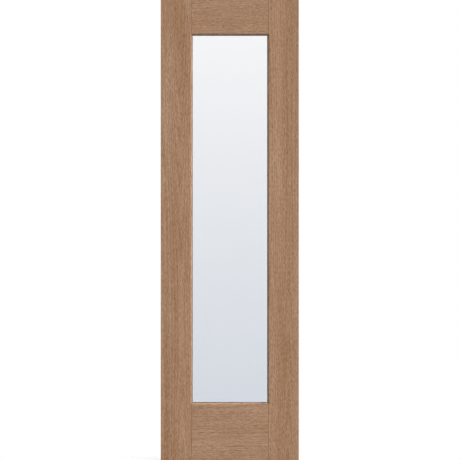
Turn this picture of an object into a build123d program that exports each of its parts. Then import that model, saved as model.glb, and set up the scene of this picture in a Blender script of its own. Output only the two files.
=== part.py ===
from build123d import *
import math
import os

# Fibreglass entrance door leaf with one full-length insulated glass unit.
# Two moulded skins are bonded over stiles, rails and foam, and the glass is bedded
# straight into the leaf: the outdoor skin's sticking holds it in front, loose beads behind.
#
# Frame: the origin is at the foot of the hinge edge, halfway through the thickness.
# +X runs from the hinge edge to the lock edge, -Y faces outdoors, +Z is up. Millimetres.

# Leaf, as its face shows it
LEAF_WIDTH = 609.6
LEAF_HEIGHT = 2032.0
LEAF_THICKNESS = 44.45
STILE_WIDTH = 132.0
TOP_RAIL_WIDTH = 150.5
BOTTOM_RAIL_WIDTH = 248.5
LOCK_EDGE_BEVEL = 3.0  # degrees, so that the leading corner clears the jamb

# Moulded skins
SKIN = 2.4
STICKING_WIDTH = 7.4
STICKING_DEPTH = 8.5
ARRIS_RADIUS = 1.2
EASED_EDGE = 0.8
MOULDED_FLANGE = 10.0
JOINT_INSET = 3.7  # of the rail joints, from the stile's arris towards the glass
JOINT_GROOVE_WIDTH = 2.0
JOINT_GROOVE_DEPTH = 1.0

# Timber, composite and foam between the skins
EDGE_STRIP = 12.7
STILE_CORE = 95.0
TOP_RAIL_BAR = 38.0
BOTTOM_RAIL_BAR = 57.0

# Insulated glass unit and its bedding
PANE = 3.2
GLASS_CAVITY = 12.7
GLASS_BITE = 12.5  # how far the unit reaches behind the sightline
EDGE_CLEARANCE = 3.0
EDGE_SEAL = 4.5
SPACER_HEIGHT = 7.0
BEDDING = 1.5
BEDDING_REVEAL = 1.2
SETTING_BLOCK_LENGTH = 100.0
BEAD_CLEARANCE = 0.3
BEAD_EDGE = 5.0

# Hinge preparations on the hinge edge, for three butt hinges of 4 by 4 inches
HINGE_HEIGHT = 101.6
HINGE_LEAF_WIDTH = 38.1
HINGE_LEAF_THICKNESS = 2.5
HINGE_CORNER_RADIUS = 15.9
TOP_HINGE_DROP = 177.8  # from the leaf's head to the hinge's upper end
BOTTOM_HINGE_RISE = 279.4  # from the leaf's foot to the hinge's lower end
PILOT_RADIUS = 1.6
PILOT_DEPTH = 32.0
OUTER_SCREW_SPACING = 76.2
INNER_SCREW_SPACING = 31.8
OUTER_SCREW_SETBACK = 28.0  # from the indoor face
INNER_SCREW_SETBACK = 14.0

# Levels through the thickness, from outdoors to indoors
OUTDOOR_FACE = -LEAF_THICKNESS / 2
INDOOR_FACE = LEAF_THICKNESS / 2
CORE_FRONT = OUTDOOR_FACE + SKIN
CORE_BACK = INDOOR_FACE - SKIN
STICKING_LIP = OUTDOOR_FACE + STICKING_DEPTH
GLASS_FRONT = STICKING_LIP + BEDDING
CAVITY_FRONT = GLASS_FRONT + PANE
CAVITY_BACK = CAVITY_FRONT + GLASS_CAVITY
GLASS_BACK = CAVITY_BACK + PANE
BEAD_SEAT = GLASS_BACK + BEDDING

# Sightline: the edge of the glass that shows, as a rectangle seen from outdoors
SIGHT_LEFT = STILE_WIDTH + STICKING_WIDTH
SIGHT_RIGHT = LEAF_WIDTH - SIGHT_LEFT
SIGHT_BOTTOM = BOTTOM_RAIL_WIDTH + STICKING_WIDTH
SIGHT_TOP = LEAF_HEIGHT - TOP_RAIL_WIDTH - STICKING_WIDTH
SIGHT_WIDTH = SIGHT_RIGHT - SIGHT_LEFT
SIGHT_HEIGHT = SIGHT_TOP - SIGHT_BOTTOM
SIGHT_X = (SIGHT_LEFT + SIGHT_RIGHT) / 2
SIGHT_Z = (SIGHT_BOTTOM + SIGHT_TOP) / 2

# Distances outwards from the sightline
REBATE = GLASS_BITE + EDGE_CLEARANCE
STILE_FACE = EDGE_STRIP + STILE_CORE
GLAZING_FRAME_REACH = SIGHT_LEFT - STILE_FACE
STICKING_SLOPE = math.hypot(STICKING_WIDTH, STICKING_DEPTH)
LIP_WIDTH = SKIN * STICKING_SLOPE / STICKING_DEPTH
LIP_ROOT = LIP_WIDTH + STICKING_WIDTH * (STICKING_LIP - CORE_FRONT) / STICKING_DEPTH

# Each side of the glass, with its turn about Y in degrees from the top one
GLASS_SIDE_TURNS = {"top": 0, "lock_side": 90, "bottom": 180, "hinge_side": -90}

HINGE_HEIGHTS = {
    "top": LEAF_HEIGHT - TOP_HINGE_DROP - HINGE_HEIGHT / 2,
    "bottom": BOTTOM_HINGE_RISE + HINGE_HEIGHT / 2,
}
HINGE_HEIGHTS["middle"] = (HINGE_HEIGHTS["top"] + HINGE_HEIGHTS["bottom"]) / 2


def block(x_from, x_to, y_from, y_to, z_from, z_to):
    """A box between two corners."""
    centre = Pos((x_from + x_to) / 2, (y_from + y_to) / 2, (z_from + z_to) / 2)
    return centre * Box(x_to - x_from, y_to - y_from, z_to - z_from)


def glass_block(reach, y_from, y_to):
    """A box over the sightline rectangle, grown outwards by reach."""
    size = Box(SIGHT_WIDTH + 2 * reach, y_to - y_from, SIGHT_HEIGHT + 2 * reach)
    return Pos(SIGHT_X, (y_from + y_to) / 2, SIGHT_Z) * size


def glass_ring(inner_reach, outer_reach, y_from, y_to):
    """A flat ring round the glass, between two distances outwards from the sightline."""
    return glass_block(outer_reach, y_from, y_to) - glass_block(inner_reach, y_from, y_to)


def section(*points):
    """A bar's section, from points of (distance outwards from the sightline, level in the thickness)."""
    return Polygon(*[(level, reach) for reach, level in points], align=None)


def mitred_bar(profile, side):
    """A section run along one side of the glass, mitred at both ends."""
    turn = GLASS_SIDE_TURNS[side]
    upright = side in ("lock_side", "hinge_side")
    half = (SIGHT_HEIGHT if upright else SIGHT_WIDTH) / 2
    distance = (SIGHT_WIDTH if upright else SIGHT_HEIGHT) / 2
    near, far = profile.bounding_box().min.Y, profile.bounding_box().max.Y
    bar = extrude(Plane.YZ * profile, amount=half + far, both=True)
    corners = ((-half - near, near), (half + near, near), (half + far, far), (-half - far, far))
    mitre = Polygon(*corners, align=None)
    bar = bar & extrude(Plane.XZ * mitre, amount=LEAF_THICKNESS, both=True)
    return Pos(SIGHT_X, 0, SIGHT_Z) * Rot(0, turn, 0) * Pos(0, 0, distance) * bar


def joint_grooves(face, inward, stile_line, rail_bottom, rail_top):
    """The four fine V-grooves where the moulded rails meet the stiles, as waste to cut away."""
    outside = face - inward * JOINT_GROOVE_DEPTH
    inside = face + inward * JOINT_GROOVE_DEPTH
    grooves = []
    for x in (stile_line, LEAF_WIDTH - stile_line):
        corners = ((x - JOINT_GROOVE_WIDTH, outside), (x + JOINT_GROOVE_WIDTH, outside), (x, inside))
        vee = Polygon(*corners, align=None)
        for z_from, z_to in ((0, rail_bottom), (rail_top, LEAF_HEIGHT)):
            grooves.append(extrude(Plane.XY.offset(z_from) * vee, amount=z_to - z_from))
    return grooves


def lock_bevel_waste():
    """What the bevel takes off the lock edge: nothing at the indoor face, most at the outdoor one."""
    slant = LEAF_THICKNESS * math.tan(math.radians(LOCK_EDGE_BEVEL))
    wedge = Polygon(
        (LEAF_WIDTH, INDOOR_FACE),
        (LEAF_WIDTH - slant, OUTDOOR_FACE),
        (LEAF_WIDTH + slant, OUTDOOR_FACE),
        align=None,
    )
    return extrude(Plane.XY * wedge, amount=LEAF_HEIGHT)


def hinge_recess(height):
    """The mortise for one hinge's leaf, open at the indoor face and round at its two blind corners."""
    blind = INDOOR_FACE - HINGE_LEAF_WIDTH
    outline = Pos(blind + HINGE_LEAF_WIDTH, height) * Rectangle(2 * HINGE_LEAF_WIDTH, HINGE_HEIGHT)
    outline = fillet(outline.vertices().group_by(Axis.X)[0], HINGE_CORNER_RADIUS)
    return extrude(Plane.YZ * outline, amount=HINGE_LEAF_THICKNESS)


def hinge_pilots(height):
    """The four screw pilot holes of one hinge, an outer and an inner pair."""
    pilots = []
    pairs = ((OUTER_SCREW_SETBACK, OUTER_SCREW_SPACING), (INNER_SCREW_SETBACK, INNER_SCREW_SPACING))
    for setback, spacing in pairs:
        for z in (height - spacing / 2, height + spacing / 2):
            floor = Plane.YZ.offset(HINGE_LEAF_THICKNESS) * Pos(INDOOR_FACE - setback, z)
            pilots.append(extrude(floor * Circle(PILOT_RADIUS), amount=PILOT_DEPTH))
    return pilots


def hinge_recesses():
    return [hinge_recess(height) for height in HINGE_HEIGHTS.values()]


def all_hinge_pilots():
    return [pilot for height in HINGE_HEIGHTS.values() for pilot in hinge_pilots(height)]


def eased_sheet(y_from, y_to, face):
    """One skin before its opening is cut: bevelled at the lock edge and eased round the face that shows."""
    sheet = block(0, LEAF_WIDTH, y_from, y_to, 0, LEAF_HEIGHT) - lock_bevel_waste()
    shown = sheet.faces().sort_by_distance((LEAF_WIDTH / 2, face, LEAF_HEIGHT / 2))[0]
    return chamfer(shown.edges(), EASED_EDGE)


def exterior_skin():
    """One moulded sheet: flat stiles and rails, and a bevelled sticking that runs down to the glass."""
    flange = STICKING_WIDTH + MOULDED_FLANGE
    sticking = section(
        (flange, OUTDOOR_FACE),
        (STICKING_WIDTH, OUTDOOR_FACE),
        (0, STICKING_LIP),
        (LIP_WIDTH, STICKING_LIP),
        (LIP_ROOT, CORE_FRONT),
        (flange, CORE_FRONT),
    )
    arris = sticking.vertices().sort_by_distance((OUTDOOR_FACE, STICKING_WIDTH))[0]
    sticking = fillet(arris, ARRIS_RADIUS)
    sheet = eased_sheet(OUTDOOR_FACE, CORE_FRONT, OUTDOOR_FACE)
    sheet -= glass_block(flange, OUTDOOR_FACE, CORE_FRONT)
    sheet += [mitred_bar(sticking, side) for side in GLASS_SIDE_TURNS]
    rail_edges = (BOTTOM_RAIL_WIDTH, LEAF_HEIGHT - TOP_RAIL_WIDTH)
    return sheet - joint_grooves(OUTDOOR_FACE, 1, STILE_WIDTH + JOINT_INSET, *rail_edges)


def interior_skin():
    """One moulded sheet, cut out square round the beads and notched at the hinge mortises."""
    sheet = eased_sheet(CORE_BACK, INDOOR_FACE, INDOOR_FACE) - glass_block(REBATE, CORE_BACK, INDOOR_FACE)
    sheet -= joint_grooves(INDOOR_FACE, -1, SIGHT_LEFT - REBATE, SIGHT_BOTTOM - REBATE, SIGHT_TOP + REBATE)
    return sheet - hinge_recesses()


def edge_strips():
    """Hardwood strips that close the two long edges."""
    hinge_strip = block(0, EDGE_STRIP, CORE_FRONT, CORE_BACK, 0, LEAF_HEIGHT)
    lock_strip = block(LEAF_WIDTH - EDGE_STRIP, LEAF_WIDTH, CORE_FRONT, CORE_BACK, 0, LEAF_HEIGHT)
    return {
        "hinge_edge_strip": hinge_strip - hinge_recesses() - all_hinge_pilots(),
        "lock_edge_strip": lock_strip - lock_bevel_waste(),
    }


def stiles():
    """Full-height laminated timber stiles behind the edge strips."""
    hinge_stile = block(EDGE_STRIP, STILE_FACE, CORE_FRONT, CORE_BACK, 0, LEAF_HEIGHT)
    lock_from, lock_to = LEAF_WIDTH - STILE_FACE, LEAF_WIDTH - EDGE_STRIP
    lock_stile = block(lock_from, lock_to, CORE_FRONT, CORE_BACK, 0, LEAF_HEIGHT)
    return {"hinge_stile": hinge_stile - all_hinge_pilots(), "lock_stile": lock_stile}


def rails_and_cores():
    """Composite bars that close the head and foot, and the foam between them and the glazing frame."""
    levels = {
        "bottom_rail": (0, BOTTOM_RAIL_BAR),
        "bottom_core": (BOTTOM_RAIL_BAR, SIGHT_BOTTOM - GLAZING_FRAME_REACH),
        "top_core": (SIGHT_TOP + GLAZING_FRAME_REACH, LEAF_HEIGHT - TOP_RAIL_BAR),
        "top_rail": (LEAF_HEIGHT - TOP_RAIL_BAR, LEAF_HEIGHT),
    }
    return {
        name: block(STILE_FACE, LEAF_WIDTH - STILE_FACE, CORE_FRONT, CORE_BACK, z_from, z_to)
        for name, (z_from, z_to) in levels.items()
    }


def glazing_frame():
    """Rebated composite bars round the glass unit, with a nose that backs the skin's sticking."""
    profile = section(
        (GLAZING_FRAME_REACH, CORE_FRONT),
        (GLAZING_FRAME_REACH, CORE_BACK),
        (REBATE, CORE_BACK),
        (REBATE, STICKING_LIP),
        (LIP_WIDTH, STICKING_LIP),
        (LIP_ROOT, CORE_FRONT),
    )
    return {f"{side}_glazing_frame": mitred_bar(profile, side) for side in GLASS_SIDE_TURNS}


def glass_unit():
    """Two panes on a spacer frame, with a sealant ring behind the spacer and blocks under the foot."""
    spacer_back = GLASS_BITE - EDGE_SEAL
    spacer_front = spacer_back - SPACER_HEIGHT
    spacer = section(
        (spacer_front, CAVITY_FRONT),
        (spacer_back, CAVITY_FRONT),
        (spacer_back, CAVITY_BACK),
        (spacer_front, CAVITY_BACK),
    )
    half_block = SETTING_BLOCK_LENGTH / 2
    foot = SIGHT_BOTTOM - GLASS_BITE
    blocks = []
    for x in (SIGHT_X - SIGHT_WIDTH / 4, SIGHT_X + SIGHT_WIDTH / 4):
        x_from, x_to = x - half_block, x + half_block
        blocks.append(block(x_from, x_to, GLASS_FRONT, GLASS_BACK, foot - EDGE_CLEARANCE, foot))
    pieces = {
        "exterior_pane": glass_block(GLASS_BITE, GLASS_FRONT, CAVITY_FRONT),
        "interior_pane": glass_block(GLASS_BITE, CAVITY_BACK, GLASS_BACK),
        "glass_edge_seal": glass_ring(spacer_back, GLASS_BITE, CAVITY_FRONT, CAVITY_BACK),
        "setting_blocks": Compound(blocks),
    }
    pieces.update({f"{side}_spacer": mitred_bar(spacer, side) for side in GLASS_SIDE_TURNS})
    return pieces


def glazing_seals():
    """Dark bedding strips on both faces of the glass unit, showing as a thin line inside the sightline."""
    return {
        "exterior_glazing_seal": glass_ring(-BEDDING_REVEAL, GLASS_BITE, STICKING_LIP, GLASS_FRONT),
        "interior_glazing_seal": glass_ring(-BEDDING_REVEAL, GLASS_BITE, GLASS_BACK, BEAD_SEAT),
    }


def glazing_beads():
    """Mitred indoor beads that hold the glass unit in its rebate, flush with the indoor skin."""
    bead_width = REBATE - BEAD_CLEARANCE
    profile = section(
        (0, BEAD_SEAT),
        (bead_width, BEAD_SEAT),
        (bead_width, INDOOR_FACE),
        (STICKING_WIDTH, INDOOR_FACE),
        (0, BEAD_SEAT + BEAD_EDGE),
    )
    arris = profile.vertices().sort_by_distance((INDOOR_FACE, STICKING_WIDTH))[0]
    profile = fillet(arris, ARRIS_RADIUS)
    return {f"{side}_bead": mitred_bar(profile, side) for side in GLASS_SIDE_TURNS}


def door_leaf():
    """Every piece of the leaf, by name."""
    return {
        "exterior_skin": exterior_skin(),
        "interior_skin": interior_skin(),
        **edge_strips(),
        **stiles(),
        **rails_and_cores(),
        **glazing_frame(),
        **glass_unit(),
        **glazing_seals(),
        **glazing_beads(),
    }


def main():
    os.makedirs("parts", exist_ok=True)
    for name, piece in door_leaf().items():
        export_step(piece, f"parts/{name}.step")


if __name__ == "__main__":
    main()
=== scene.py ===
import bmesh
import bpy
import math
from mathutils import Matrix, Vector

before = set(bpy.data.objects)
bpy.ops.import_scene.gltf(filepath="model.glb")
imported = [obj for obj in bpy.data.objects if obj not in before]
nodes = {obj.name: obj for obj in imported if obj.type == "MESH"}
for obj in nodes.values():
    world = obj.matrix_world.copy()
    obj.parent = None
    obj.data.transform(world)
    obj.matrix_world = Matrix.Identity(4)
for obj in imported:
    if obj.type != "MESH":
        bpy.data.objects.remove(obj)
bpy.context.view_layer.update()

# Sizes of the leaf in metres, as in the part's source
LEAF_WIDTH = 0.6096
LEAF_HEIGHT = 2.032
OUTDOOR_FACE = -0.022225
SIGHT_LEFT, SIGHT_RIGHT = 0.1394, 0.4702
SIGHT_BOTTOM, SIGHT_TOP = 0.2559, 1.8741
STICKING_WIDTH = 0.0074
JOINT_INSET = 0.0037
BEAD_WIDTH = 0.0155
CAVITY_MIDDLE = -0.002675
SIDES = ("top", "lock_side", "bottom", "hinge_side")

# The glass in sight: its middle and half its size
MIDDLE_X, HALF_WIDTH = (SIGHT_LEFT + SIGHT_RIGHT) / 2, (SIGHT_RIGHT - SIGHT_LEFT) / 2
MIDDLE_Z, HALF_HEIGHT = (SIGHT_BOTTOM + SIGHT_TOP) / 2, (SIGHT_TOP - SIGHT_BOTTOM) / 2

# End levels of a step
RISING, FALLING = (0.0, 1.0), (1.0, 0.0)

# What a board hands to the oak grain
GRAIN_INPUTS = ("Along", "Across", "Board", "Heart", "Banding")

# The darker heart of each stile's board leans a little: its place at the foot, its lean, and where it
# starts and stops fading
HEART_LINES = (0.045, 0.545)
HEART_LEAN = 0.0197
HEART_FADE = (0.008, 0.055)
BOTTOM_RAIL_HEART, TOP_RAIL_HEART = 0.50, 0.75

# Places in the grain that each moulded board shows, and how strong its bands are
HINGE_STILE_BOARD, LOCK_STILE_BOARD = 91.8, 151.1
BOTTOM_RAIL_BOARD, TOP_RAIL_BOARD = 247.4, 362.2
RAIL_BANDING, STILE_BANDING = 0.60, 1.00

# Stain in the rail joints: where it starts and stops fading from the joint's line
JOINT_FADE = (0.0007, 0.0019)

# Layers of the oak grain: waves per metre along and across a board, place in the noise, detail and
# roughness
DRIFT = (2.0, 7.0, 0.0, 2.0, 0.5)
BANDS = (1.6, 20.0, 3.0, 1.0, 0.5)
STREAKS = (11.0, 170.0, 5.0, 2.0, 0.6)
DASHES = (55.0, 330.0, 17.0, 1.0, 0.5)
FIBRES = (60.0, 1000.0, 8.0, 1.0, 0.5)
FIGURE = (0.35, 8.0, 13.0, 0.0, 0.5)
TICKS = (50.0, 1650.0, 21.0, 0.0, 0.5)

# How far the grain wanders in metres, the levels that part the fibres, and the fibres' height
WANDER = 0.008
FIBRE_EDGES = (0.41, 0.59)
FIBRE_HEIGHT = 0.25

# Growth rings: how many the figure holds, how the bands bend them, and each ring's early wood
RINGS, RING_BEND = 26.0, 1.2
EARLY_RISE, EARLY_FALL = (0.0, 0.12), (0.25, 0.75)

# A tick is a pore above a level that dashes raise and early wood lowers
PORE_LEVEL, PORE_LEVEL_DASHES, PORE_LEVEL_EARLY = 0.48, 0.36, -0.13
PORE_RIM = (0.0, 0.05)

# The grain's tone: its mean, and what each layer adds
MEAN_TONE = 0.552
DRIFT_TONE, BANDS_TONE, STREAKS_TONE = 0.28, 0.42, 0.50
DASHES_TONE, FIBRES_TONE = 0.22, 0.38
EARLY_TONE, HEART_TONE = -0.05, -0.11

# The moulded skins: how much stain their pores and joints take, where a face counts as a cut edge, and
# their roughness
SKIN_TONES = (0.05, 0.95)
SKIN_PORE_STAIN, SKIN_JOINT_STAIN = 0.60, 0.26
SKIN_CUT_EDGE = (0.04, 0.08)
SKIN_ROUGH, SKIN_ROUGH_PORES, SKIN_ROUGH_TONE = 0.39, 0.18, -0.08

# The oak strips: the slant of their grain, and their bare wood, which shows on the hinge edge between
# two depths and away from the ends
STRIP_TONES = (0.1, 0.9)
STRIP_SLANT = 0.6
STRIP_PORE_STAIN = 0.7
STRIP_ROUGH, STRIP_ROUGH_PORES = 0.5, 0.2
ROUTED_FROM, ROUTED_TO, END_MARGIN = 0.0012, 0.04, 0.01

# The stiles: veneers per metre, their waves, and the fibres and glue lines on their sawn ends
VENEERS = 310.0
VENEER_WAVES, VENEER_WAVE_HEIGHT = 18.0, 0.0006
VENEER_TONES = (0.1, 0.9)
SAWN_FIBRES = 900.0
GLUE_EDGES, GLUE_COVER = (0.42, 0.48), 0.7

# The spacers: the pitch of their breathing holes, how far each row lies from the cavity's middle, the
# holes' rims, and the brushing along and across
HOLE_PITCH, HOLE_ROW = 0.005, 0.0022
HOLE_RIM = (0.0003, 0.0005)
BRUSHED_ALONG, BRUSHED_ACROSS = 30.0, 2500.0
STEEL_TONES = (0.3, 0.7)
STEEL_ROUGH, STEEL_ROUGH_SPECKS = 0.62, 0.15

# The glass's painted reflection greys towards the foot and pales towards the head, over its whole
# height in sight
GLASS_PAINTED_REFLECTION_TONES = (0.0, 1.0)

# Filled and foamed materials
SPECK_TONES = (0.25, 0.75)
SPECK_ROUGH = 0.2

# Finishes, as linear colours: dark, middle and light, or from foot to head for the glass's painted
# reflection
OAK = ((0.213, 0.088, 0.021, 1), (0.337, 0.188, 0.101, 1), (0.492, 0.322, 0.219, 1))
BARE_OAK = ((0.330, 0.210, 0.115, 1), (0.480, 0.335, 0.200, 1), (0.590, 0.440, 0.285, 1))
VENEER = ((0.36, 0.22, 0.11, 1), (0.50, 0.34, 0.19, 1), (0.62, 0.46, 0.28, 1))
COMPOSITE = ((0.26, 0.21, 0.16, 1), (0.40, 0.34, 0.27, 1), (0.52, 0.46, 0.38, 1))
FOAM = ((0.62, 0.53, 0.30, 1), (0.76, 0.67, 0.43, 1), (0.86, 0.79, 0.56, 1))
BEDDING = ((0.020, 0.017, 0.015, 1), (0.035, 0.030, 0.026, 1), (0.055, 0.048, 0.042, 1))
STEEL = ((0.33, 0.34, 0.35, 1), (0.43, 0.44, 0.45, 1), (0.52, 0.53, 0.54, 1))
# Painted reflection on the glass, from grey at the foot to pale at the head
GLASS_PAINTED_REFLECTION = ((0.802, 0.826, 0.860, 1), (0.872, 0.885, 0.907, 1), (0.955, 0.957, 0.964, 1))
PORE_STAIN = (0.125, 0.052, 0.018, 1)
RAW_RESIN = (0.300, 0.195, 0.120, 1)
GLUE = (0.12, 0.06, 0.03, 1)
HOLE_SHADE = (0.03, 0.03, 0.03, 1)
FLOOR_SEEN, FLOOR_BOUNCE = (0.86, 0.86, 0.86, 1), (0.34, 0.34, 0.34, 1)
WHITE = (1, 1, 1, 1)

# The floor: how it fades to white with distance from the leaf's middle, in metres
FLOOR_RADIUS, FLOOR_SEGMENTS = 7.0, 96
FLOOR_FADE, FLOOR_WHITE = (0.30, 0.75), (0.60, 1.0)

# Fill light from all round, a little more from the right. Lamps: the way to the lamp, its strength, and
# the spread of its disc in radians
FILL, FILL_RIGHT = 0.42, 0.12
LAMPS = (
    ("main_lamp", (0.58, -0.68, 0.46), 2.85, 0.45),
    ("side_lamp", (0.98, 0.12, 0.12), 1.05, 0.45),
    ("top_lamp", (0.0, 0.12, 0.99), 0.6, 0.45),
    ("back_lamp", (-0.45, 0.75, 0.50), 1.7, 0.6),
)

# The camera: its lens and sensor in millimetres, what it shows and where its middle lies in metres
LENS, SENSOR = 300.0, 36.0
SHOWN_HEIGHT = 2.0265
CAMERA_X, CAMERA_Z = 0.3051, 1.0162


def add(tree, kind, **settings):
    """Adds a shader node and sets its own settings."""
    made = tree.nodes.new("ShaderNode" + kind)
    for name, value in settings.items():
        setattr(made, name, value)
    return made


def feed(tree, socket, value):
    """Links a socket to an input, or sets the input's plain value."""
    if isinstance(value, bpy.types.NodeSocket):
        tree.links.new(value, socket)
    else:
        socket.default_value = value


def calc(tree, operation, *values):
    """The result of one sum."""
    made = add(tree, "Math", operation=operation)
    for socket, value in zip(made.inputs, values):
        feed(tree, socket, value)
    return made.outputs[0]


def total(tree, start, *shares):
    """A start value plus each layer times its share."""
    for layer, share in shares:
        start = calc(tree, "MULTIPLY_ADD", layer, share, start)
    return start


def apart(tree, first, second):
    """How far apart two values are."""
    return calc(tree, "ABSOLUTE", calc(tree, "SUBTRACT", first, second))


def pick(tree, switch, off, on):
    """One value where a switch is 0, and another where it is 1."""
    made = add(tree, "Mix", data_type="FLOAT")
    feed(tree, made.inputs["Factor"], switch)
    feed(tree, made.inputs[2], off)
    feed(tree, made.inputs[3], on)
    return made.outputs[0]


def step(tree, value, limits, ends=RISING, kind="SMOOTHSTEP"):
    """A step between two limits of a value, from one end level to the other."""
    made = add(tree, "MapRange", interpolation_type=kind)
    feed(tree, made.inputs["Value"], value)
    for name, limit in zip(("From Min", "From Max", "To Min", "To Max"), (*limits, *ends)):
        feed(tree, made.inputs[name], limit)
    return made.outputs["Result"]


def blend(tree, share, first, second):
    """A mix of two colours."""
    made = add(tree, "Mix", data_type="RGBA")
    feed(tree, made.inputs["Factor"], share)
    feed(tree, made.inputs[6], first)
    feed(tree, made.inputs[7], second)
    return made.outputs[2]


def vector(tree, x, y, z):
    """A vector of three values."""
    made = add(tree, "CombineXYZ")
    for socket, value in zip(made.inputs, (x, y, z)):
        feed(tree, socket, value)
    return made.outputs[0]


def axes(tree, place):
    """The x, y and z of a vector."""
    made = add(tree, "SeparateXYZ")
    feed(tree, made.inputs[0], place)
    return made.outputs


def noise(tree, place, detail=1.0, roughness=0.5):
    """Noise from 0 to 1 with features about one unit across."""
    made = add(tree, "TexNoise", noise_dimensions="3D")
    feed(tree, made.inputs["Vector"], place)
    made.inputs["Scale"].default_value = 1.0
    made.inputs["Detail"].default_value = detail
    made.inputs["Roughness"].default_value = roughness
    return made.outputs["Fac"]


def group(name, inputs, outputs):
    """An empty node group with named sockets, and its input and output nodes."""
    tree = bpy.data.node_groups.new(name, "ShaderNodeTree")
    for way, sockets in (("INPUT", inputs), ("OUTPUT", outputs)):
        for label, kind in sockets:
            tree.interface.new_socket(label, in_out=way, socket_type="NodeSocket" + kind)
    given, out = tree.nodes.new("NodeGroupInput"), tree.nodes.new("NodeGroupOutput")
    return tree, given.outputs, out.inputs


def use(tree, shared, **values):
    """Places a shared group in a material with its own values."""
    made = add(tree, "Group", node_tree=shared)
    for name, value in values.items():
        feed(tree, made.inputs[name.replace("_", " ")], value)
    return made.outputs


def leaf_layout():
    """Which moulded board a point of the leaf's face lies on, and how its grain runs there."""
    tree, given, out = group(
        "Leaf layout",
        [("Position", "Vector"), ("Mitre Reach", "Float"), ("Stile Line", "Float")],
        [(label, "Float") for label in GRAIN_INPUTS + ("Joint",)],
    )
    place = axes(tree, given["Position"])
    x, z = place["X"], place["Z"]
    stile_line = given["Stile Line"]
    out_x = calc(tree, "SUBTRACT", apart(tree, x, MIDDLE_X), HALF_WIDTH)
    out_z = calc(tree, "SUBTRACT", apart(tree, z, MIDDLE_Z), HALF_HEIGHT)
    on_rail = calc(tree, "GREATER_THAN", out_z, given["Mitre Reach"])
    stile = calc(tree, "GREATER_THAN", out_x, pick(tree, on_rail, out_z, stile_line))
    feed(tree, out["Along"], pick(tree, stile, x, z))
    feed(tree, out["Across"], pick(tree, stile, z, x))
    lock_side = calc(tree, "GREATER_THAN", x, MIDDLE_X)
    upper = calc(tree, "GREATER_THAN", z, MIDDLE_Z)
    stile_board = pick(tree, lock_side, HINGE_STILE_BOARD, LOCK_STILE_BOARD)
    rail_board = pick(tree, upper, BOTTOM_RAIL_BOARD, TOP_RAIL_BOARD)
    feed(tree, out["Board"], pick(tree, stile, rail_board, stile_board))
    stain = step(tree, apart(tree, out_x, stile_line), JOINT_FADE, FALLING)
    feed(tree, out["Joint"], calc(tree, "MULTIPLY", on_rail, stain))
    leaning = total(tree, x, (z, -HEART_LEAN))
    from_halfway = apart(tree, leaning, sum(HEART_LINES) / 2)
    from_heart = apart(tree, from_halfway, (HEART_LINES[1] - HEART_LINES[0]) / 2)
    stile_heart = step(tree, from_heart, HEART_FADE, FALLING)
    rail_heart = pick(tree, upper, BOTTOM_RAIL_HEART, TOP_RAIL_HEART)
    feed(tree, out["Heart"], pick(tree, stile, rail_heart, stile_heart))
    feed(tree, out["Banding"], pick(tree, stile, RAIL_BANDING, STILE_BANDING))
    return tree


def oak_grain():
    """Oak figure along one board: bands, growth rings, fine fibres and short dark pores."""
    tree, given, out = group(
        "Oak grain",
        [(label, "Float") for label in GRAIN_INPUTS],
        [(label, "Float") for label in ("Tone", "Pores", "Relief")],
    )

    def layer(across, run, spread, shift, detail, roughness):
        place = vector(
            tree,
            calc(tree, "MULTIPLY", given["Along"], run),
            calc(tree, "MULTIPLY", across, spread),
            calc(tree, "ADD", given["Board"], shift),
        )
        return noise(tree, place, detail, roughness)

    def centred(value):
        return calc(tree, "SUBTRACT", value, 0.5)

    drift = layer(given["Across"], *DRIFT)
    across = total(tree, given["Across"], (centred(drift), WANDER))
    bands = layer(across, *BANDS)
    streaks = layer(across, *STREAKS)
    dashes = layer(across, *DASHES)
    fibres = step(tree, layer(across, *FIBRES), FIBRE_EDGES)
    figure = layer(across, *FIGURE)
    ticks = layer(across, *TICKS)

    rings = calc(tree, "FRACT", total(tree, 0.0, (bands, RING_BEND), (figure, RINGS)))
    rise, fall = step(tree, rings, EARLY_RISE), step(tree, rings, EARLY_FALL, FALLING)
    early = calc(tree, "MULTIPLY", rise, fall)
    level = total(tree, PORE_LEVEL, (dashes, PORE_LEVEL_DASHES), (early, PORE_LEVEL_EARLY))
    pores = step(tree, calc(tree, "SUBTRACT", ticks, level), PORE_RIM)
    broad = total(
        tree,
        0.0,
        (centred(drift), DRIFT_TONE),
        (centred(bands), BANDS_TONE),
        (centred(streaks), STREAKS_TONE),
    )
    tone = total(
        tree,
        MEAN_TONE,
        (broad, given["Banding"]),
        (centred(dashes), DASHES_TONE),
        (centred(fibres), FIBRES_TONE),
        (early, EARLY_TONE),
        (given["Heart"], HEART_TONE),
    )
    feed(tree, out["Tone"], tone)
    feed(tree, out["Pores"], pores)
    feed(tree, out["Relief"], total(tree, 0.0, (fibres, FIBRE_HEIGHT), (pores, -1.0)))
    return tree


LAYOUT = leaf_layout()
GRAIN = oak_grain()


def material(name):
    """A new material: its tree, its shader and its object coordinates."""
    made = bpy.data.materials.new(name)
    made.use_nodes = True
    tree = made.node_tree
    shader = tree.nodes["Principled BSDF"]
    coordinates = add(tree, "TexCoord").outputs
    return made, tree, shader, coordinates


def three_tones(tree, tone, limits, colours):
    """A colour ramp between two limits of a tone, with the middle colour at one half."""
    made = add(tree, "ValToRGB")
    elements = made.color_ramp.elements
    for index in range(2):
        elements[index].position = limits[index]
        elements[index].color = colours[2 * index]
    elements.new(0.5).color = colours[1]
    feed(tree, made.inputs[0], tone)
    return made.outputs[0]


def paint(tree, shader, colour, rough, specular=0.5):
    """Gives a shader its colour, its roughness and its level of mirroring."""
    feed(tree, shader.inputs["Base Color"], colour)
    feed(tree, shader.inputs["Roughness"], rough)
    shader.inputs["Specular IOR Level"].default_value = specular


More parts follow.
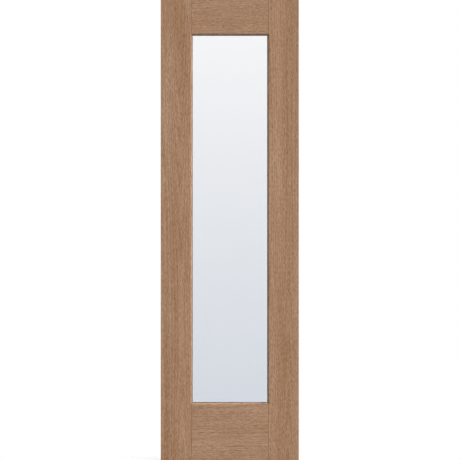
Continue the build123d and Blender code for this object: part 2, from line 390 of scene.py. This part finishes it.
def raise_surface(tree, shader, height, depth, strength):
    """Gives a shader fine relief, with its depth in metres."""
    made = add(tree, "Bump")
    made.inputs["Strength"].default_value = strength
    made.inputs["Distance"].default_value = depth
    feed(tree, made.inputs["Height"], height)
    feed(tree, shader.inputs["Normal"], made.outputs[0])


def mix_surfaces(tree, share, first, second):
    """Sends a mix of two shaders to the material's surface."""
    mixed = add(tree, "MixShader")
    for socket, value in zip(mixed.inputs, (share, first.outputs[0], second.outputs[0])):
        feed(tree, socket, value)
    feed(tree, tree.nodes["Material Output"].inputs["Surface"], mixed.outputs[0])


def moulded_oak(name, mitre_reach, stile_line):
    """Stained fibreglass moulded with oak grain, along each board and each side of the sticking."""
    made, tree, shader, coordinates = material(name)
    position = coordinates["Object"]
    place = use(tree, LAYOUT, Position=position, Mitre_Reach=mitre_reach, Stile_Line=stile_line)
    grain = use(tree, GRAIN, **{label: place[label] for label in GRAIN_INPUTS})
    colour = three_tones(tree, grain["Tone"], SKIN_TONES, OAK)
    for stained, cover in ((grain["Pores"], SKIN_PORE_STAIN), (place["Joint"], SKIN_JOINT_STAIN)):
        colour = blend(tree, calc(tree, "MULTIPLY", stained, cover), colour, PORE_STAIN)
    facing = calc(tree, "ABSOLUTE", axes(tree, coordinates["Normal"])["Y"])
    cut = step(tree, facing, SKIN_CUT_EDGE, FALLING)
    rough = total(
        tree, SKIN_ROUGH, (grain["Pores"], SKIN_ROUGH_PORES), (grain["Tone"], SKIN_ROUGH_TONE)
    )
    paint(tree, shader, blend(tree, cut, colour, RAW_RESIN), rough, specular=0.45)
    raise_surface(tree, shader, grain["Relief"], depth=0.00025, strength=0.7)
    return made


def edge_oak():
    """Solid oak strip, stained to go with the skins, and bare where it is routed for the hinges."""
    made, tree, shader, coordinates = material("stained_oak_strip")
    x, y, z = axes(tree, coordinates["Object"])
    across = total(tree, y, (x, STRIP_SLANT))
    board = calc(tree, "GREATER_THAN", x, LEAF_WIDTH / 2)
    grain = use(tree, GRAIN, Along=z, Across=across, Board=board, Heart=0.0, Banding=1.0)
    stained = three_tones(tree, grain["Tone"], STRIP_TONES, OAK)
    stain = calc(tree, "MULTIPLY", grain["Pores"], STRIP_PORE_STAIN)
    stained = blend(tree, stain, stained, PORE_STAIN)
    bare = three_tones(tree, grain["Tone"], STRIP_TONES, BARE_OAK)
    deeper = calc(tree, "GREATER_THAN", x, ROUTED_FROM)
    routed = calc(tree, "MULTIPLY", deeper, calc(tree, "LESS_THAN", x, ROUTED_TO))
    from_waist = apart(tree, z, LEAF_HEIGHT / 2)
    inner = calc(tree, "LESS_THAN", from_waist, LEAF_HEIGHT / 2 - END_MARGIN)
    colour = blend(tree, calc(tree, "MULTIPLY", routed, inner), stained, bare)
    rough = total(tree, STRIP_ROUGH, (grain["Pores"], STRIP_ROUGH_PORES))
    paint(tree, shader, colour, rough, specular=0.35)
    raise_surface(tree, shader, grain["Relief"], depth=0.0003, strength=0.8)
    return made


def laminated_stile():
    """Veneers laid through the thickness, each of its own tone, with dark glue lines between them."""
    made, tree, shader, coordinates = material("laminated_stile")
    x, y, z = axes(tree, coordinates["Object"])
    waves = noise(tree, vector(tree, calc(tree, "MULTIPLY", x, VENEER_WAVES), z, 0.0))
    layers = calc(tree, "MULTIPLY", total(tree, y, (waves, VENEER_WAVE_HEIGHT)), VENEERS)
    veneer = add(tree, "TexWhiteNoise", noise_dimensions="1D")
    feed(tree, veneer.inputs["W"], calc(tree, "FLOOR", layers))
    glue = step(tree, apart(tree, calc(tree, "FRACT", layers), 0.5), GLUE_EDGES)
    sawn = [calc(tree, "MULTIPLY", axis, SAWN_FIBRES) for axis in (x, y)]
    fibres = noise(tree, vector(tree, *sawn, z), detail=3.0)
    tone = total(tree, 0.0, (fibres, 0.5), (veneer.outputs["Value"], 0.5))
    colour = three_tones(tree, tone, VENEER_TONES, VENEER)
    colour = blend(tree, calc(tree, "MULTIPLY", glue, GLUE_COVER), colour, GLUE)
    paint(tree, shader, colour, rough=0.8)
    raise_surface(tree, shader, fibres, depth=0.0004, strength=0.6)
    return made


def speckled(name, colours, size, rough, depth):
    """A filled or foamed material: fine specks of tone and a slightly grainy surface."""
    made, tree, shader, coordinates = material(name)
    place = add(tree, "Mapping")
    feed(tree, place.inputs["Vector"], coordinates["Object"])
    place.inputs["Scale"].default_value = (1 / size,) * 3
    specks = noise(tree, place.outputs[0], detail=3.0, roughness=0.65)
    colour = three_tones(tree, specks, SPECK_TONES, colours)
    paint(tree, shader, colour, total(tree, rough, (specks, SPECK_ROUGH)), specular=0.3)
    raise_surface(tree, shader, specks, depth, strength=0.5)
    return made


def clear_glass():
    """Clear glass with a painted reflection that greys towards the foot and pales towards the head, and
    that lets the lamps through.
    """
    made, tree, shader, coordinates = material("insulated_glass")
    height = axes(tree, coordinates["Object"])["Z"]
    rise = step(tree, height, (SIGHT_BOTTOM, SIGHT_TOP), kind="LINEAR")
    # The glass's base colour is a painted reflection, greyer at the foot and paler at the head
    paint(tree, shader, three_tones(tree, rise, GLASS_PAINTED_REFLECTION_TONES, GLASS_PAINTED_REFLECTION), rough=0.0)
    shader.inputs["IOR"].default_value = 1.5
    shader.inputs["Transmission Weight"].default_value = 1.0
    shadow = add(tree, "LightPath").outputs["Is Shadow Ray"]
    mix_surfaces(tree, shadow, shader, add(tree, "BsdfTransparent"))
    return made


def spacer_strip():
    """Dull folded stainless strip with two rows of fine breathing holes."""
    made, tree, shader, coordinates = material("spacer_strip")
    x, y, z = axes(tree, coordinates["Object"])
    sideways = calc(tree, "ABSOLUTE", axes(tree, coordinates["Normal"])["X"])
    run = pick(tree, calc(tree, "GREATER_THAN", sideways, 0.5), x, z)
    along = calc(tree, "PINGPONG", run, HOLE_PITCH / 2)
    beside = calc(tree, "SUBTRACT", apart(tree, y, CAVITY_MIDDLE), HOLE_ROW)
    from_hole = add(tree, "VectorMath", operation="LENGTH")
    feed(tree, from_hole.inputs[0], vector(tree, along, beside, 0.0))
    hole = step(tree, from_hole.outputs["Value"], HOLE_RIM, FALLING)
    brushed_along = calc(tree, "MULTIPLY", run, BRUSHED_ALONG)
    brushed_across = calc(tree, "MULTIPLY", y, BRUSHED_ACROSS)
    specks = noise(tree, vector(tree, brushed_along, brushed_across, 0.0), detail=2.0)
    colour = blend(tree, hole, three_tones(tree, specks, STEEL_TONES, STEEL), HOLE_SHADE)
    paint(tree, shader, colour, total(tree, STEEL_ROUGH, (specks, STEEL_ROUGH_SPECKS)))
    shader.inputs["Metallic"].default_value = 1.0
    return made


def dress(finish, *names):
    """Gives CAD nodes a finish in their material slots."""
    for name in names:
        piece = nodes[name]
        if not piece.data.materials:
            piece.data.materials.append(finish)
        for index in range(len(piece.data.materials)):
            piece.data.materials[index] = finish


outdoors = moulded_oak("moulded_oak_outdoors", STICKING_WIDTH, STICKING_WIDTH - JOINT_INSET)
indoors = moulded_oak("moulded_oak_indoors", BEAD_WIDTH, BEAD_WIDTH)
composite = speckled("composite_bar", COMPOSITE, size=0.0016, rough=0.6, depth=0.0003)
foam = speckled("rigid_foam", FOAM, size=0.0009, rough=0.7, depth=0.0004)
bedding = speckled("dark_bedding", BEDDING, size=0.002, rough=0.55, depth=0.0001)

dress(outdoors, "exterior_skin")
dress(indoors, "interior_skin", *[f"{side}_bead" for side in SIDES])
dress(edge_oak(), "hinge_edge_strip", "lock_edge_strip")
dress(laminated_stile(), "hinge_stile", "lock_stile")
dress(composite, "top_rail", "bottom_rail", *[f"{side}_glazing_frame" for side in SIDES])
dress(foam, "top_core", "bottom_core")
dress(bedding, "exterior_glazing_seal", "interior_glazing_seal", "glass_edge_seal", "setting_blocks")
dress(clear_glass(), "exterior_pane", "interior_pane")
dress(spacer_strip(), *[f"{side}_spacer" for side in SIDES])


def shown_white(tree):
    """1 for rays that meet a white background: seen, mirrored or through glass, and not scattered."""
    path = add(tree, "LightPath").outputs
    mirrored = calc(tree, "MAXIMUM", path["Is Glossy Ray"], path["Is Transmission Ray"])
    direct = calc(tree, "LESS_THAN", path["Diffuse Depth"], 0.5)
    return calc(tree, "MULTIPLY", direct, calc(tree, "MAXIMUM", path["Is Camera Ray"], mirrored))


def pale_floor():
    """A pale studio floor that fades to white away from the door, and keeps the shadow at its foot."""
    middle = (LEAF_WIDTH / 2, 0.0, 0.0)
    mesh = bpy.data.meshes.new("floor")
    shape = bmesh.new()
    bmesh.ops.create_circle(shape, cap_ends=True, segments=FLOOR_SEGMENTS, radius=FLOOR_RADIUS)
    bmesh.ops.translate(shape, verts=shape.verts, vec=middle)
    shape.to_mesh(mesh)
    shape.free()
    floor = bpy.data.objects.new("floor", mesh)
    bpy.context.scene.collection.objects.link(floor)
    made, tree, shader, coordinates = material("pale_floor")
    bounced = add(tree, "LightPath").outputs["Is Diffuse Ray"]
    paint(tree, shader, blend(tree, bounced, FLOOR_SEEN, FLOOR_BOUNCE), rough=0.9, specular=0.1)
    away = add(tree, "VectorMath", operation="DISTANCE")
    feed(tree, away.inputs[0], coordinates["Object"])
    away.inputs[1].default_value = middle
    fade = step(tree, away.outputs["Value"], FLOOR_FADE, FLOOR_WHITE)
    white = calc(tree, "MULTIPLY", shown_white(tree), fade)
    mix_surfaces(tree, white, shader, add(tree, "Emission"))
    mesh.materials.append(made)


def studio_light():
    """Soft fill all round, a main lamp at the upper right, and weaker ones beside, above and behind."""
    world = bpy.data.worlds.new("studio")
    bpy.context.scene.world = world
    world.use_nodes = True
    tree = world.node_tree
    sky = tree.nodes["Background"]
    direction = axes(tree, add(tree, "TexCoord").outputs["Generated"])
    fill = total(tree, FILL, (direction["X"], FILL_RIGHT))
    feed(tree, sky.inputs["Strength"], pick(tree, shown_white(tree), fill, 1.0))
    sky.inputs["Color"].default_value = WHITE
    for name, towards, strength, spread in LAMPS:
        lamp = bpy.data.lights.new(name, "SUN")
        lamp.energy = strength
        lamp.angle = spread
        hung = bpy.data.objects.new(name, lamp)
        hung.rotation_mode = "QUATERNION"
        hung.rotation_quaternion = Vector(towards).to_track_quat("Z", "Y")
        bpy.context.scene.collection.objects.link(hung)


def straight_on_camera():
    """A long lens square to the outdoor face, with the leaf filling the frame's height."""
    lens = bpy.data.cameras.new("camera")
    lens.lens = LENS
    lens.sensor_width = SENSOR
    away = SHOWN_HEIGHT * LENS / SENSOR
    camera = bpy.data.objects.new("camera", lens)
    camera.location = (CAMERA_X, OUTDOOR_FACE - away, CAMERA_Z)
    camera.rotation_euler = (math.pi / 2, 0.0, 0.0)
    bpy.context.scene.collection.objects.link(camera)
    bpy.context.scene.camera = camera


pale_floor()
studio_light()
straight_on_camera()
bpy.context.scene.view_settings.view_transform = "Standard"
